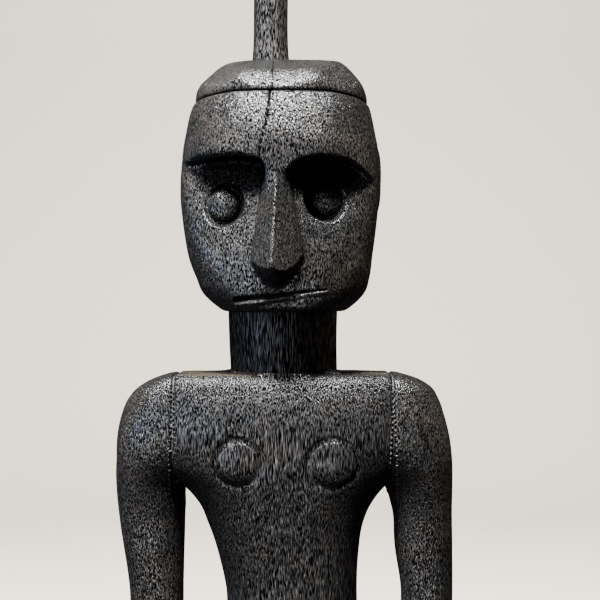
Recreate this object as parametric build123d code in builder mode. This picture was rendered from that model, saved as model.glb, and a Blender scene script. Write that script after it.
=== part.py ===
from build123d import *
import os
from math import copysign, cos, pi, sin

# Carved wooden ancestor figure on a plinth. Its head is a small container with a lid.
# Millimetres. +Z is up and the figure faces -Y, so +X is the figure's own left.
# The origin is at the centre of the plinth's underside.

# Heights above the table
PLINTH_TOP = 24.0
CROTCH = 156.0
ARMPIT = 268.0
SHOULDER_TOP = 310.0
JAW = 332.5
LID_SEAM = 408.0
LID_TOP = 421.2
STEM_TOP = 473.0

# Plinth
PLINTH_WIDTH = 112.0
PLINTH_DEPTH = 96.0
PLINTH_EDGE = 3.0

# Trunk and arms are parted by two upright layers of pitch
SEAM_X = 38.3
PITCH_THICKNESS = 0.8
CHEST_HALF_DEPTH = 25.0
BREAST_X = 16.4
BREAST_Z = 280.0
BREAST_RADIUS = 8.0
BREAST_RISE = 2.4

# Pegs
SHOULDER_PEG_RADIUS = 4.0
SHOULDER_PEG_LENGTH = 26.0
SHOULDER_PEG_HEIGHTS = {"upper": 298.0, "lower": 283.0}
FOOT_PEG_RADIUS = 4.0
FOOT_PEG_BOTTOM = 8.0
FOOT_PEG_TOP = 52.0
FOOT_PEG_Y = 2.0
PEG_EDGE = 1.0

# Neck: a plain barrel, glued into the trunk below and loose in the head above
NECK_RADIUS = 19.1
LOWER_TENON_RADIUS = 13.0
LOWER_TENON_LENGTH = 22.0
UPPER_TENON_RADIUS = 11.0
UPPER_TENON_LENGTH = 17.0
TURNING_CLEARANCE = 0.05
HEAD_GAP = 0.15

# Head, its cavity and its lid
HEAD_X = -0.9
FACE_X = -1.6
FACE_Y = -35.0
CAVITY_RADIUS = 18.0
CAVITY_FLOOR = 366.0
SPIGOT_CLEARANCE = 0.3
SPIGOT_LENGTH = 10.0
LID_GAP = 0.3
STEM_X = -4.7
STEM_Y = 2.0
STEM_SEAT = 419.0
STEM_BASE_RADIUS = 6.8
STEM_TIP_RADIUS = 6.1
STEM_TENON_RADIUS = 4.5
STEM_TENON_LENGTH = 8.0

# Face
EYE_SPACING = 35.0
EYE_Z = 370.0
EYE_RADIUS = 6.2
SOCKET_RADIUS = 12.0
NOSE_BOTTOM = 342.0
NOSE_TOP = 381.0
MOUTH_Z = 338.2
MOUTH_WIDTH = 34.0
EAR_X = 34.0
EAR_Y = 6.5
EAR_Z = 379.0
EAR_THICKNESS = 6.0
EAR_HALF_DEPTH = 4.5
EAR_HALF_HEIGHT = 12.5
EAR_EDGE = 1.0

# Legs and feet
LEG_X = 19.0
FOOT_WIDTH = 21.0
FOOT_EDGE = 3.0
TOE_GROOVE = 0.9

# Arms
ELBOW_RADIUS = 9.4
WRIST_RADIUS = 6.2
HAND_LENGTH = 22.0
HAND_HEIGHT = 14.0
HAND_THICKNESS = 7.0

OVAL_POINTS = 16

# Level ovals: (height, centre x, centre y, half width, half depth)
TRUNK = [
    (CROTCH, 0, 0, 18.0, 11.0),
    (CROTCH + 10, 0, 0, 24.0, 16.5),
    (CROTCH + 24, 0.4, 1.0, 28.6, 21.0),
    (192, 1.0, 0.6, 29.4, 22.4),
    (206, 1.6, 0, 26.5, 22.0),
    (230, 2.8, 0, 23.2, 20.4),
    (246, 1.4, 0, 25.0, 21.5),
    (257, 0.6, 0, 27.7, 22.8),
    (264, 0.6, 0, 30.8, 23.6),
    (271, 0.4, 0, 37.6, 24.4),
    (278, 0, 0, 46.0, CHEST_HALF_DEPTH),
    (288, 0, 0, 52.0, CHEST_HALF_DEPTH),
    (297, 0, 0, 52.0, CHEST_HALF_DEPTH - 0.2),
    (303, 0, 0, 51.5, CHEST_HALF_DEPTH - 1.0),
    (307.5, 0, 0, 50.0, CHEST_HALF_DEPTH - 2.6),
    (SHOULDER_TOP, 0, 0, 48.0, CHEST_HALF_DEPTH - 4.4),
]
LEG = [
    (PLINTH_TOP + 8, LEG_X, 2.5, 8.8, 10.5),
    (48, LEG_X, 3.0, 8.4, 9.6),
    (68, LEG_X, 3.0, 11.0, 13.0),
    (85, 18.5, -1.5, 10.4, 11.4),
    (100, 18.0, -4.5, 11.4, 12.2),
    (125, 17.0, -2.0, 13.0, 15.0),
    (150, 16.0, 0, 14.2, 17.6),
    (CROTCH + 12, 15.2, 0.5, 14.2, 18.6),
    (CROTCH + 28, 14.8, 0.5, 13.6, 18.6),
]
FOOT_SIDE = [
    (14.5, PLINTH_TOP),
    (14.5, 36.0),
    (4.0, 45.0),
    (-15.0, 36.0),
    (-33.0, 31.0),
    (-38.0, PLINTH_TOP),
]
HEAD = [
    (JAW + HEAD_GAP, 0, -2.4, 20.5, 21.5),
    (335, HEAD_X, -3.4, 24.4, 26.0),
    (339, HEAD_X, -4.4, 27.6, 28.8),
    (344, HEAD_X, -4.4, 29.8, 30.4),
    (352, HEAD_X, -2.8, 31.9, 32.4),
    (362, HEAD_X, -1.2, 34.1, 34.6),
    (373, HEAD_X, -0.3, 35.7, 36.0),
    (384, HEAD_X, -0.2, 35.6, 36.0),
    (393, HEAD_X, -0.5, 34.5, 34.8),
    (401, HEAD_X, -0.7, 32.6, 32.9),
    (LID_SEAM, HEAD_X, -0.8, 30.2, 30.4),
]
LID = [
    (LID_SEAM + LID_GAP, HEAD_X, -0.8, 30.2, 30.4),
    (410, HEAD_X, -0.8, 30.6, 30.8),
    (413, HEAD_X, -0.8, 28.9, 29.0),
    (416, HEAD_X, -0.8, 25.6, 25.6),
    (418.5, HEAD_X, -0.8, 21.0, 21.0),
    (420.3, HEAD_X, -0.8, 15.0, 15.0),
    (LID_TOP, HEAD_X, -0.8, 9.0, 9.0),
]
# The two arms differ a little. Distances in x are from the middle, outwards.
LEFT_ARM = [
    (216, 51.0, 0, 9.2, 9.6),
    (232, 50.9, 0, 9.4, 10.2),
    (248, 50.0, 0, 10.4, 11.4),
    (262, 49.2, 0, 11.2, 13.2),
    (271, 47.6, 0, 12.8, 15.4),
    (279, 43.4, 0, 16.8, 18.2),
    (287, 39.8, 0, 20.0, 19.8),
    (295, 38.4, 0, 20.0, 20.2),
    (301, 38.0, 0, 18.2, 19.0),
    (305.5, 38.0, 0, 14.8, 17.0),
    (309, 38.0, 0, 10.0, 14.0),
]
RIGHT_ARM = [
    (221, 45.7, 0, 9.5, 9.8),
    (234, 46.1, 0, 9.8, 10.4),
    (248, 46.9, 0, 10.8, 11.6),
    (262, 47.5, 0, 11.9, 13.2),
    (271, 47.2, 0, 12.7, 15.4),
    (279, 43.6, 0, 16.6, 18.2),
    (287, 40.2, 0, 19.9, 19.8),
    (295, 38.4, 0, 19.6, 20.2),
    (301, 38.0, 0, 17.6, 19.0),
    (305.5, 38.0, 0, 14.2, 17.0),
    (309, 38.0, 0, 9.6, 14.0),
]
LEFT_ELBOW = (50.8, 0.5, 215.0)
LEFT_WRIST = (24.0, -26.4, 206.0)
RIGHT_ELBOW = (45.8, 0.5, 220.0)
RIGHT_WRIST = (24.0, -26.4, 209.0)


def stacked_ovals(sections, squareness, side=1):
    """Lofts level ovals. Squareness 2 is an ellipse and larger numbers are squarer."""
    with BuildPart() as stack:
        for height, x, y, half_x, half_y in sections:
            points = []
            for step in range(OVAL_POINTS):
                angle = 2 * pi * step / OVAL_POINTS
                across = copysign(abs(cos(angle)) ** (2 / squareness), cos(angle))
                along = copysign(abs(sin(angle)) ** (2 / squareness), sin(angle))
                points.append((half_x * across, half_y * along))
            with BuildSketch(Plane((side * x, y, height))):
                with BuildLine():
                    Spline(*points, periodic=True)
                make_face()
        loft()
    return stack.part


def upright_peg(radius, bottom, top):
    """A round peg on the Z axis with chamfered ends."""
    with BuildPart() as peg:
        with BuildSketch(Plane.XY.offset(bottom)):
            Circle(radius)
        extrude(amount=top - bottom)
        chamfer(peg.edges().filter_by(GeomType.CIRCLE), PEG_EDGE)
    return peg.part


def level_peg(radius, length):
    """A round peg along X, centred on the origin, with chamfered ends."""
    with BuildPart() as peg:
        with BuildSketch(Plane.YZ.offset(-length / 2)):
            Circle(radius)
        extrude(amount=length)
        chamfer(peg.edges().filter_by(GeomType.CIRCLE), PEG_EDGE)
    return peg.part


def foot(side):
    """A block foot with a sloping instep and four grooves between the toes."""
    with BuildPart() as block:
        with BuildSketch(Plane.YZ.offset(side * LEG_X - FOOT_WIDTH / 2)):
            with BuildLine():
                Polyline(*FOOT_SIDE, close=True)
            make_face()
        extrude(amount=FOOT_WIDTH)
        fillet(block.edges().filter_by(lambda edge: edge.center().Z > PLINTH_TOP + 1), FOOT_EDGE)
        toe = FOOT_WIDTH / 5
        for groove in range(1, 5):
            with Locations((side * LEG_X - FOOT_WIDTH / 2 + groove * toe, -35, 30)):
                Box(TOE_GROOVE, 14, 5, mode=Mode.SUBTRACT)
    return block.part


def forearm_and_hand(elbow, wrist, side):
    """A tapered forearm with a flat hand that points to the middle of the belly."""
    start = Vector(side * elbow[0], elbow[1], elbow[2])
    end = Vector(side * wrist[0], wrist[1], wrist[2])
    with BuildPart() as limb:
        with BuildSketch(Plane(start, z_dir=end - start)):
            Circle(ELBOW_RADIUS)
        with BuildSketch(Plane(end, z_dir=end - start)):
            Circle(WRIST_RADIUS)
        loft()
        with Locations(start):
            Sphere(ELBOW_RADIUS)
        with Locations(end):
            Sphere(WRIST_RADIUS)
        hand_x = side * (wrist[0] - HAND_LENGTH / 2 + 2)
        with BuildSketch(Plane((hand_x, wrist[1], wrist[2]), x_dir=(1, 0, 0), z_dir=(0, -1, 0))):
            RectangleRounded(HAND_LENGTH, HAND_HEIGHT, HAND_HEIGHT / 3)
        extrude(amount=HAND_THICKNESS / 2, both=True)
        for groove in (-1, 0, 1):
            finger_x = hand_x - side * HAND_LENGTH / 4
            finger_z = wrist[2] + groove * HAND_HEIGHT / 4
            with Locations((finger_x, wrist[1] - HAND_THICKNESS / 2, finger_z)):
                Box(HAND_LENGTH / 2, 1.2, 0.8, mode=Mode.SUBTRACT)
    return limb.part


def shoulder_peg_places(side):
    return [Location((side * SEAM_X, 0, height)) for height in SHOULDER_PEG_HEIGHTS.values()]


shoulder_peg_shape = level_peg(SHOULDER_PEG_RADIUS, SHOULDER_PEG_LENGTH)
foot_peg_shape = upright_peg(FOOT_PEG_RADIUS, FOOT_PEG_BOTTOM, FOOT_PEG_TOP)

# ---------------------------------------------------------------- plinth
with BuildPart() as plinth:
    with BuildSketch():
        Rectangle(PLINTH_WIDTH, PLINTH_DEPTH)
    extrude(amount=PLINTH_TOP)
    fillet(plinth.edges().filter_by(Axis.Z), PLINTH_EDGE)
    chamfer(plinth.faces().sort_by(Axis.Z)[-1].edges(), PLINTH_EDGE / 2)
    with Locations((LEG_X, FOOT_PEG_Y, 0), (-LEG_X, FOOT_PEG_Y, 0)):
        add(foot_peg_shape, mode=Mode.SUBTRACT)

# ---------------------------------------------------------------- trunk and legs, one block
trunk_blank = stacked_ovals(TRUNK, squareness=2.7)
with BuildPart() as trunk_and_legs:
    add(trunk_blank)
    for side in (-1, 1):
        add(stacked_ovals(LEG, squareness=2.2, side=side))
        add(foot(side))
        with BuildSketch(Plane.XZ.offset(CHEST_HALF_DEPTH - 5)):
            with Locations((side * BREAST_X, BREAST_Z)):
                Circle(BREAST_RADIUS)
        extrude(amount=5 + BREAST_RISE, taper=12)
    for side in (-1, 1):
        outside = Plane((side * (SEAM_X - PITCH_THICKNESS / 2), 0, 0), z_dir=(side, 0, 0))
        split(bisect_by=outside, keep=Keep.BOTTOM)
        with Locations(*shoulder_peg_places(side)):
            add(shoulder_peg_shape, mode=Mode.SUBTRACT)
    with Locations((LEG_X, FOOT_PEG_Y, 0), (-LEG_X, FOOT_PEG_Y, 0)):
        add(foot_peg_shape, mode=Mode.SUBTRACT)
    with BuildSketch(Plane.XY.offset(SHOULDER_TOP)):
        Circle(LOWER_TENON_RADIUS)
    extrude(amount=-LOWER_TENON_LENGTH, mode=Mode.SUBTRACT)


# ---------------------------------------------------------------- arms and the pitch behind them
def arm_and_pitch(sections, elbow, wrist, side):
    """Cuts one shoulder into the carved arm and the layer of pitch against the trunk."""
    blank = stacked_ovals(sections, squareness=2.2, side=side)
    lower_limb = forearm_and_hand(elbow, wrist, side)
    pitch_outer = Plane((side * (SEAM_X + PITCH_THICKNESS / 2), 0, 0), z_dir=(side, 0, 0))
    pitch_inner = Plane((side * (SEAM_X - PITCH_THICKNESS / 2), 0, 0), z_dir=(side, 0, 0))
    armpit_plane = Plane.XY.offset(ARMPIT)
    with BuildPart() as below_armpit:
        add(blank)
        split(bisect_by=armpit_plane, keep=Keep.BOTTOM)
    with BuildPart() as arm:
        add(blank)
        split(bisect_by=pitch_outer, keep=Keep.TOP)
        add(below_armpit.part)
        add(lower_limb)
        with Locations(*shoulder_peg_places(side)):
            add(shoulder_peg_shape, mode=Mode.SUBTRACT)
    with BuildPart() as pitch:
        add(blank)
        split(bisect_by=pitch_outer, keep=Keep.BOTTOM)
        split(bisect_by=pitch_inner, keep=Keep.TOP)
        split(bisect_by=armpit_plane, keep=Keep.TOP)
        with Locations(*shoulder_peg_places(side)):
            add(shoulder_peg_shape, mode=Mode.SUBTRACT)
    return arm, pitch


arm_left, shoulder_pitch_left = arm_and_pitch(LEFT_ARM, LEFT_ELBOW, LEFT_WRIST, 1)
arm_right, shoulder_pitch_right = arm_and_pitch(RIGHT_ARM, RIGHT_ELBOW, RIGHT_WRIST, -1)

# ---------------------------------------------------------------- neck
with BuildPart() as neck_peg:
    with BuildSketch(Plane.XY.offset(SHOULDER_TOP)):
        Circle(NECK_RADIUS)
    extrude(amount=JAW - SHOULDER_TOP)
    add(upright_peg(LOWER_TENON_RADIUS, SHOULDER_TOP - LOWER_TENON_LENGTH, SHOULDER_TOP + 2))
    add(upright_peg(UPPER_TENON_RADIUS, JAW - 2, JAW + UPPER_TENON_LENGTH))

# ---------------------------------------------------------------- head
with BuildPart() as ear:
    with BuildSketch(Plane.YZ.offset(-EAR_THICKNESS / 2)):
        Ellipse(EAR_HALF_DEPTH, EAR_HALF_HEIGHT)
    extrude(amount=EAR_THICKNESS)
    chamfer(ear.faces().filter_by(Axis.X).edges(), EAR_EDGE)
with BuildPart() as nose:
    for height, half_width, tip in ((NOSE_BOTTOM, 8.6, 9.0), (NOSE_TOP, 3.4, 1.5)):
        with BuildSketch(Plane.XY.offset(height)):
            with BuildLine():
                Polyline(
                    (FACE_X - half_width, FACE_Y + 8),
                    (FACE_X + half_width, FACE_Y + 8),
                    (FACE_X + 1.2, FACE_Y + 5 - tip),
                    (FACE_X - 1.2, FACE_Y + 5 - tip),
                    close=True,
                )
            make_face()
    loft()
with BuildPart() as head:
    add(stacked_ovals(HEAD, squareness=2.4))
    for eye_x in (FACE_X - EYE_SPACING / 2, FACE_X + EYE_SPACING / 2):
        with Locations((eye_x, FACE_Y - 5.0, EYE_Z + 2.0)):
            Sphere(SOCKET_RADIUS, mode=Mode.SUBTRACT)
        with Locations((eye_x, FACE_Y + 8.5, EYE_Z)):
            Sphere(EYE_RADIUS)
    add(nose.part)
    with Locations((FACE_X, FACE_Y + 2, MOUTH_Z)):
        Box(MOUTH_WIDTH, 9, 1.2, mode=Mode.SUBTRACT)
    with Locations((HEAD_X - EAR_X, EAR_Y, EAR_Z), (HEAD_X + EAR_X, EAR_Y, EAR_Z)):
        add(ear.part)
    # cavity, open at the top
    with BuildSketch(Plane.XY.offset(LID_SEAM)):
        Circle(CAVITY_RADIUS)
    extrude(amount=CAVITY_FLOOR - LID_SEAM, mode=Mode.SUBTRACT)
    # bore for the loose tenon
    with BuildSketch(Plane.XY.offset(JAW + HEAD_GAP)):
        Circle(UPPER_TENON_RADIUS + TURNING_CLEARANCE)
    extrude(amount=UPPER_TENON_LENGTH + 0.5, mode=Mode.SUBTRACT)

# ---------------------------------------------------------------- stem, tenoned into the lid
stem_plane = Plane((STEM_X, STEM_Y, 0), x_dir=(1, 0, 0), z_dir=(0, -1, 0))
with BuildPart() as lid_stem:
    with BuildSketch(stem_plane):
        with BuildLine():
            Polyline(
                (0, STEM_SEAT - STEM_TENON_LENGTH),
                (STEM_TENON_RADIUS, STEM_SEAT - STEM_TENON_LENGTH),
                (STEM_TENON_RADIUS, STEM_SEAT),
                (STEM_BASE_RADIUS, STEM_SEAT),
                (STEM_BASE_RADIUS, STEM_SEAT + 3),
                (STEM_TIP_RADIUS, STEM_TOP - 2),
                (STEM_TIP_RADIUS - 2, STEM_TOP),
                (0, STEM_TOP),
                close=True,
            )
        make_face()
    revolve(axis=Axis((STEM_X, STEM_Y, 0), (0, 0, 1)))

# ---------------------------------------------------------------- lid
with BuildPart() as lid:
    add(stacked_ovals(LID, squareness=2.2))
    with BuildSketch(Plane.XY.offset(LID_SEAM + LID_GAP)):
        Circle(CAVITY_RADIUS - SPIGOT_CLEARANCE)
    extrude(amount=-SPIGOT_LENGTH)
    chamfer(lid.faces().sort_by(Axis.Z)[0].edges(), PEG_EDGE)
    add(lid_stem.part, mode=Mode.SUBTRACT)

# ---------------------------------------------------------------- pegs
shoulder_pegs = {}
for name, side in (("left", 1), ("right", -1)):
    for level, height in SHOULDER_PEG_HEIGHTS.items():
        with BuildPart() as shoulder_peg:
            with Locations((side * SEAM_X, 0, height)):
                add(shoulder_peg_shape)
        shoulder_pegs[f"shoulder_peg_{name}_{level}"] = shoulder_peg
foot_pegs = {}
for name, side in (("left", 1), ("right", -1)):
    with BuildPart() as foot_peg:
        with Locations((side * LEG_X, FOOT_PEG_Y, 0)):
            add(foot_peg_shape)
    foot_pegs[f"foot_peg_{name}"] = foot_peg

# ---------------------------------------------------------------- files
pieces = {
    "plinth": plinth,
    "trunk_and_legs": trunk_and_legs,
    "arm_left": arm_left,
    "arm_right": arm_right,
    "shoulder_pitch_left": shoulder_pitch_left,
    "shoulder_pitch_right": shoulder_pitch_right,
    "neck_peg": neck_peg,
    "head": head,
    "lid": lid,
    "lid_stem": lid_stem,
    **shoulder_pegs,
    **foot_pegs,
}
os.makedirs("parts", exist_ok=True)
for name, piece in pieces.items():
    piece.part.label = name
    export_step(piece.part, f"parts/{name}.step")
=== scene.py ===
import math

import bpy
import numpy as np
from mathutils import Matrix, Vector


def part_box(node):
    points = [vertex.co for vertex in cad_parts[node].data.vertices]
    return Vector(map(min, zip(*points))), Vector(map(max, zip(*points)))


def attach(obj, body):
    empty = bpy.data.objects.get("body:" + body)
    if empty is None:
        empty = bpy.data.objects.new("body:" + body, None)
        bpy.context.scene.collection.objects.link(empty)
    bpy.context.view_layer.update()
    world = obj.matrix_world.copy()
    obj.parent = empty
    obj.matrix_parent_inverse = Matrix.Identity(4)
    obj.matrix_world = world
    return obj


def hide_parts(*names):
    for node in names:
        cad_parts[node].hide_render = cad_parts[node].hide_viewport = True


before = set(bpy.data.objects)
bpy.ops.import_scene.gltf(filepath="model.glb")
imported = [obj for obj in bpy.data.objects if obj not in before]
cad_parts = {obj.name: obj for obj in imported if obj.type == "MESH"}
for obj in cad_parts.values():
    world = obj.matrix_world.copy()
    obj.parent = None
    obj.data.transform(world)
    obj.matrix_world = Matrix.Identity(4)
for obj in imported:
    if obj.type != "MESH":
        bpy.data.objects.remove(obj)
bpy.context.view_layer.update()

# A carved, black-stained wooden figure. Every carved piece is modelled as a solid field: a function
# that is negative inside the wood and positive outside, in millimetres. The pieces are cut and
# joined with smooth minimum and maximum, as a carver rounds an edge, and then meshed.
# Lengths are millimetres up to the point where a mesh is made, which is in metres.

MM = 0.001
# grid nodes along each side of the blocks that a field is worked out in
BLOCK = 8
BLOCKS_AT_ONCE = 900
COARSER = 1.0


# ---------------------------------------------------------------- places, read from the frame
def node_box(node):
    low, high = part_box(node)
    return np.array(low) / MM, np.array(high) / MM


head_low, head_high = node_box("head")
lid_low, lid_high = node_box("lid")
stem_low, stem_high = node_box("lid_stem")
neck_low, neck_high = node_box("neck_peg")
trunk_low, trunk_high = node_box("trunk_and_legs")
plinth_low, plinth_high = node_box("plinth")
pitch_left_low, pitch_left_high = node_box("shoulder_pitch_left")

JAW = head_low[2]
SEAM = head_high[2]
HEAD_X = (head_low[0] + head_high[0]) / 2
SHOULDER = trunk_high[2]
GROUND = plinth_high[2]
NECK_RADIUS = (neck_high[0] - neck_low[0]) / 2
STEM_X = (stem_low[0] + stem_high[0]) / 2
STEM_Y = (stem_low[1] + stem_high[1]) / 2
TRUNK_SIDE = pitch_left_low[0]
ARM_SIDE = pitch_left_high[0]


# ---------------------------------------------------------------- solid fields
def smooth_min(a, b, radius):
    """Joins two solids with a fillet of about the given radius."""
    share = np.clip(0.5 + 0.5 * (b - a) / radius, 0.0, 1.0)
    return b + (a - b) * share - radius * share * (1.0 - share)


def smooth_max(a, b, radius):
    """Keeps what two solids share, with a rounded edge."""
    return -smooth_min(-a, -b, radius)


def cut(solid, tool, radius):
    """Carves the tool out of the solid."""
    return smooth_max(solid, -tool, radius)


class Curve:
    """A smooth curve through (place, value) points, flat beyond its ends."""

    def __init__(self, points):
        places, values = np.array(points, dtype=float).T
        slopes = np.gradient(values, places)
        fine = np.linspace(places[0], places[-1], 300)
        span = np.clip(np.searchsorted(places, fine, side="right") - 1, 0, len(places) - 2)
        width = places[span + 1] - places[span]
        t = (fine - places[span]) / width
        self.places = fine
        self.values = (
            (2 * t**3 - 3 * t**2 + 1) * values[span]
            + (t**3 - 2 * t**2 + t) * width * slopes[span]
            + (3 * t**2 - 2 * t**3) * values[span + 1]
            + (t**3 - t**2) * width * slopes[span + 1]
        )

    def __call__(self, place):
        return np.interp(place, self.places, self.values)


class OvalStack:
    """Level ovals, each (height, centre x, centre y, half width, half depth), as a solid."""

    def __init__(self, sections, squareness, edge, side=1):
        table = np.array(sections, dtype=float)
        self.bottom, self.top = table[0, 0], table[-1, 0]
        self.curves = [Curve(table[:, (0, column)]) for column in (1, 2, 3, 4)]
        self.squareness, self.edge, self.side = squareness, edge, side

    def around(self, p):
        """Distance out from the ovals alone."""
        centre_x, centre_y, half_x, half_y = (curve(p[:, 2]) for curve in self.curves)
        across = p[:, 0] * self.side - centre_x
        along = p[:, 1] - centre_y
        power = self.squareness
        ratio = (np.abs(across / half_x) ** power + np.abs(along / half_y) ** power) ** (1 / power)
        radius = np.hypot(across, along)
        return radius - radius / np.maximum(ratio, 1e-4)

    def __call__(self, p):
        ends = np.maximum(p[:, 2] - self.top, self.bottom - p[:, 2])
        return smooth_max(self.around(p), ends, self.edge)


def turned(p, centre, about_x=0.0, about_z=0.0):
    """Points as seen from a centre whose axes are turned by degrees about X, then Z."""
    q = p - np.array(centre)
    c, s = math.cos(math.radians(about_z)), math.sin(math.radians(about_z))
    q = np.stack([c * q[:, 0] + s * q[:, 1], c * q[:, 1] - s * q[:, 0], q[:, 2]], axis=1)
    c, s = math.cos(math.radians(about_x)), math.sin(math.radians(about_x))
    return np.stack([q[:, 0], c * q[:, 1] + s * q[:, 2], c * q[:, 2] - s * q[:, 1]], axis=1)


def ellipsoid(p, centre, radii, about_x=0.0, about_z=0.0):
    q = turned(p, centre, about_x, about_z) / np.array(radii)
    level = np.sqrt((q**2).sum(1))
    steep = np.sqrt(((q / np.array(radii)) ** 2).sum(1))
    return level * (level - 1.0) / np.maximum(steep, 1e-6)


def capsule(p, start, end, start_radius, end_radius):
    start, end = np.array(start, float), np.array(end, float)
    run = end - start
    t = np.clip((p - start) @ run / (run @ run), 0.0, 1.0)
    gap = np.sqrt(((p - start - t[:, None] * run) ** 2).sum(1))
    return gap - start_radius - (end_radius - start_radius) * t


def rounded_box(p, centre, half, radius, about_z=0.0):
    q = np.abs(turned(p, centre, 0.0, about_z)) - (np.array(half) - radius)
    outside = np.sqrt((np.maximum(q, 0.0) ** 2).sum(1))
    return outside + np.minimum(q.max(1), 0.0) - radius


def upright_rod(p, x, y, radius, bottom, top, edge):
    around = np.hypot(p[:, 0] - x, p[:, 1] - y) - radius
    return smooth_max(around, np.maximum(p[:, 2] - top, bottom - p[:, 2]), edge)


def half_space(p, point, outward):
    """The solid behind a flat face."""
    outward = np.array(outward, float)
    return (p - np.array(point, float)) @ (outward / np.linalg.norm(outward))


def face_normal(a, b, c):
    return np.cross(np.array(b, float) - np.array(a, float), np.array(c, float) - np.array(a, float))


noise_tables = {}


def rough(p, size, seed):
    """Smooth unevenness between -1 and 1. Size is one bump's width, or its width on each axis."""
    if seed not in noise_tables:
        made = np.random.default_rng(seed).uniform(-1.0, 1.0, (32, 32, 32))
        noise_tables[seed] = made.astype(np.float32)
    table = noise_tables[seed]
    q = p / np.array(size)
    whole = np.floor(q).astype(int)
    t = q - whole
    t = t * t * (3.0 - 2.0 * t)
    value = np.zeros(len(p))
    for corner in range(8):
        step = np.array([corner & 1, corner >> 1 & 1, corner >> 2 & 1])
        share = np.prod(np.where(step, t, 1.0 - t), axis=1)
        at = (whole + step) % 32
        value += share * table[at[:, 0], at[:, 1], at[:, 2]]
    return value


def tool_marks(p, seed, strength=1.0):
    """The shallow unevenness that a knife leaves on carved wood, in millimetres."""
    return strength * (0.34 * rough(p, 13.0, seed) + 0.14 * rough(p, (4.2, 4.2, 7.0), seed + 1))


# ---------------------------------------------------------------- meshing a field
def grid_values(field, low, counts, step):
    """The field at every grid node near the surface, and just its sign further away."""
    blocks = -(-counts // BLOCK)
    corners = np.stack(np.meshgrid(*(np.arange(n) for n in blocks), indexing="ij"), -1).reshape(-1, 3)
    centres = low + (corners + 0.5) * BLOCK * step
    at_centre = field(centres)
    # half a block's diagonal, with room for fields that aren't true distances
    reach = BLOCK * step * math.sqrt(3) * 0.5 * 1.9 + 1.0
    values = np.empty(blocks * BLOCK, dtype=np.float32)
    shaped = values.reshape(blocks[0], BLOCK, blocks[1], BLOCK, blocks[2], BLOCK)
    sign = np.sign(at_centre).reshape(blocks) * 100.0
    shaped[:] = sign[:, None, :, None, :, None]
    near = corners[np.abs(at_centre) < reach]
    inner = np.stack(np.meshgrid(*(np.arange(BLOCK),) * 3, indexing="ij"), -1).reshape(-1, 3)
    for start in range(0, len(near), BLOCKS_AT_ONCE):
        chunk = near[start : start + BLOCKS_AT_ONCE]
        nodes = (chunk[:, None] * BLOCK + inner[None]).reshape(-1, 3)
        values[nodes[:, 0], nodes[:, 1], nodes[:, 2]] = field(low + nodes * step)
    return values


def surface_net(values, low, step):
    """Corners and four-sided faces of the surface where the values change sign."""
    inside = values < 0
    corner_steps = [np.array([i & 1, i >> 1 & 1, i >> 2 & 1]) for i in range(8)]
    shape = np.array(values.shape) - 1
    filled = np.zeros(shape, dtype=np.int8)
    for s in corner_steps:
        filled += inside[s[0] : s[0] + shape[0], s[1] : s[1] + shape[1], s[2] : s[2] + shape[2]]
    cells = np.argwhere((filled > 0) & (filled < 8))
    number = np.full(shape, -1, dtype=np.int32)
    number[tuple(cells.T)] = np.arange(len(cells))
    total = np.zeros((len(cells), 3))
    count = np.zeros(len(cells))
    for a in range(8):
        for axis in range(3):
            b = a | 1 << axis
            if a == b:
                continue
            at_a, at_b = cells + corner_steps[a], cells + corner_steps[b]
            value_a, value_b = values[tuple(at_a.T)], values[tuple(at_b.T)]
            crossing = (value_a < 0) != (value_b < 0)
            t = value_a[crossing] / (value_a[crossing] - value_b[crossing])
            point = at_a[crossing].astype(float)
            point[:, axis] += t
            total[crossing] += point
            count[crossing] += 1
    points = low + step * total / count[:, None]
    faces = []
    for axis in range(3):
        u, v = (axis + 1) % 3, (axis + 2) % 3
        first = [slice(1, -1)] * 3
        second = [slice(1, -1)] * 3
        first[axis], second[axis] = slice(0, -1), slice(1, None)
        going_out = inside[tuple(first)] & ~inside[tuple(second)]
        coming_in = ~inside[tuple(first)] & inside[tuple(second)]
        start = np.array([1, 1, 1])
        start[axis] = 0
        for mask, order in ((going_out, (0, 1, 2, 3)), (coming_in, (3, 2, 1, 0))):
            edges = np.argwhere(mask) + start
            around = []
            for back_u, back_v in ((1, 1), (0, 1), (0, 0), (1, 0)):
                cell = edges.copy()
                cell[:, u] -= back_u
                cell[:, v] -= back_v
                around.append(number[tuple(cell.T)])
            faces.append(np.stack([around[i] for i in order], axis=1))
    return points, np.concatenate(faces)


def settle(field, points, step):
    """Moves mesh points onto the true surface."""
    for _ in range(2):
        value = field(points)
        slope = np.empty_like(points)
        for axis in range(3):
            nudge = np.zeros(3)
            nudge[axis] = 0.1 * step
            slope[:, axis] = (field(points + nudge) - field(points - nudge)) / (0.2 * step)
        move = slope * (value / np.maximum((slope**2).sum(1), 0.05))[:, None]
        length = np.sqrt((move**2).sum(1))[:, None]
        points = points - move * np.minimum(1.0, 0.6 * step / np.maximum(length, 1e-9))
    return points


def carve(name, field, low, high, step, body, material, replaces=None, painted_shade=None):
    """Meshes one field as a piece that rides on a body and stands for a CAD node.

    The last argument gives, for each point, how much painted shade the material lays on: 0 on open surfaces
    and 1 deep in a recess.
    """
    step = step * COARSER
    low = np.array(low, float) - 3 * step
    counts = np.ceil((np.array(high, float) + 3 * step - low) / step).astype(int)
    values = grid_values(field, low, counts, step)
    points, faces = surface_net(values, low, step)
    points = settle(field, points, step)
    mesh = bpy.data.meshes.new(name)
    mesh.from_pydata((points * MM).tolist(), [], faces.tolist())
    mesh.shade_smooth()
    mesh.materials.append(material)
    if painted_shade:
        layer = mesh.attributes.new("painted_shade", "FLOAT", "POINT")
        layer.data.foreach_set("value", painted_shade(points).astype(np.float32))
    piece = bpy.data.objects.new(name, mesh)
    bpy.context.scene.collection.objects.link(piece)
    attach(piece, body)
    if replaces:
        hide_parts(replaces)


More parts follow.
